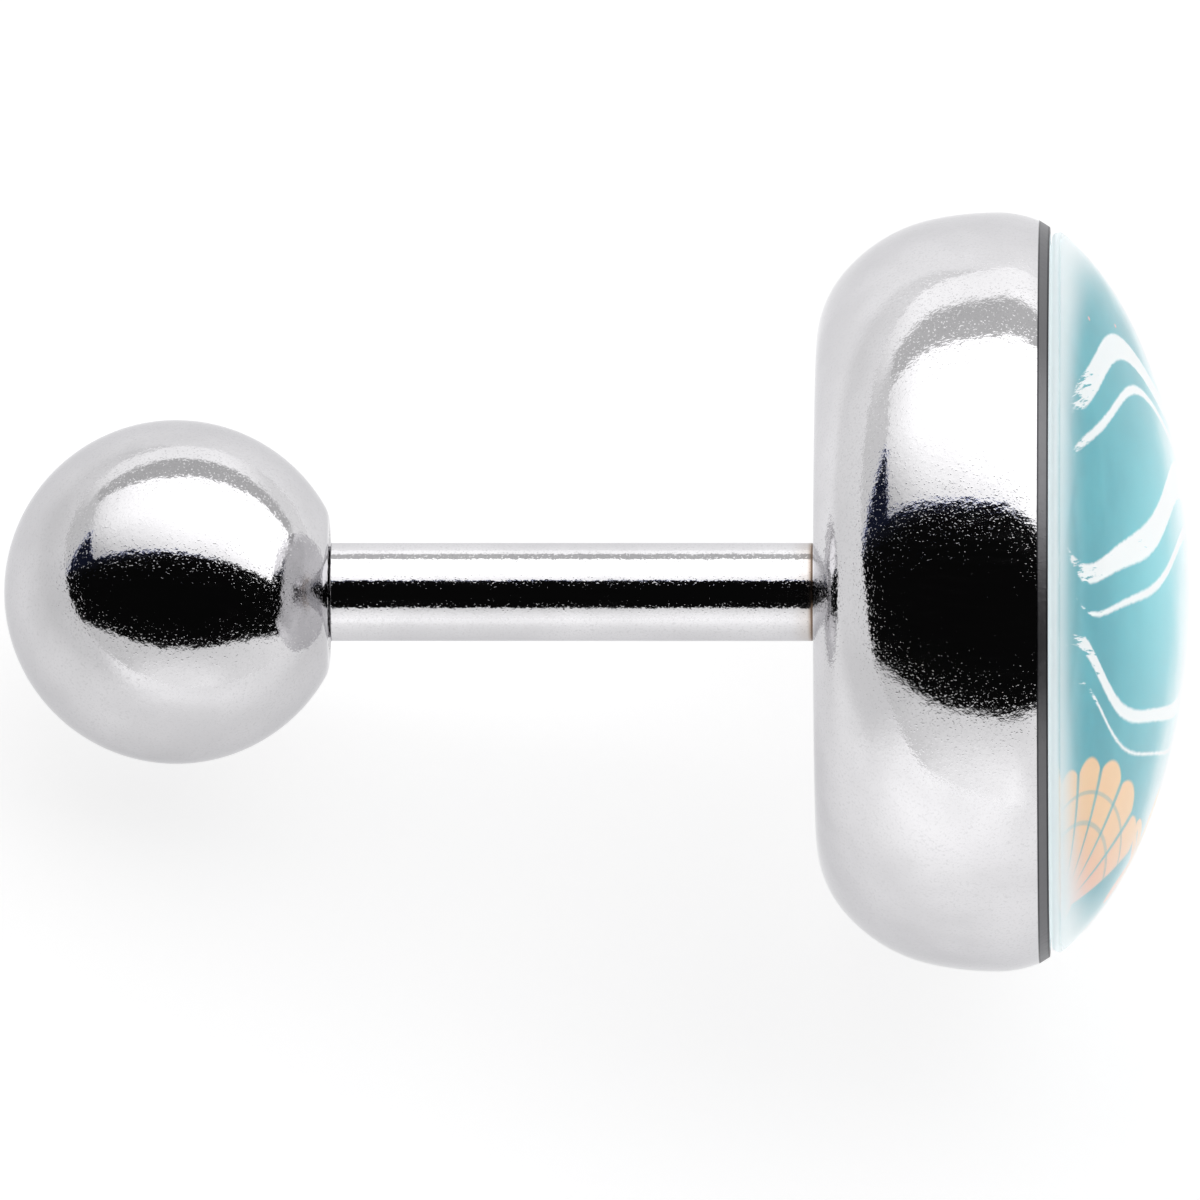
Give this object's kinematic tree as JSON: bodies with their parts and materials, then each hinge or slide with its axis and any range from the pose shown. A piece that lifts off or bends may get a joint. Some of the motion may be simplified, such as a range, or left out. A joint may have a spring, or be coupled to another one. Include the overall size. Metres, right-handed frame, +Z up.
{
  "type": "tragus stud",
  "caption": "Straight barbell ear stud: a slim post with a screw-on ball at one end and a round polished cup with a clear domed picture at the other.",
  "frame": {"origin": "middle of the stud's bounding box in plan, on the flat surface that the stud rests on", "axes": "+Z up from that surface, +X towards the dome along the stud's axis seen from above, which rises towards the dome by 14.46 degrees, and Y across it"},
  "size_m": [0.0144, 0.0092, 0.0091],
  "materials": {
    "ball": "mirror-polished surgical steel",
    "cup_and_post": "mirror-polished surgical steel, with a satin bevel round the rim",
    "picture_disc": "printed film",
    "dome": "clear polished resin"
  },
  "bodies": {
    "ball": {"ball": "ball"},
    "stud": {"cup_and_post": "cup_and_post", "picture_disc": "picture_disc", "dome": "dome"}
  },
  "joints": [
    {"name": "thread", "type": "slide", "parent": "ball", "child": "stud", "axis": [0.9683, 0, 0.2497], "range_m": [0, 0.008]}
  ]
}
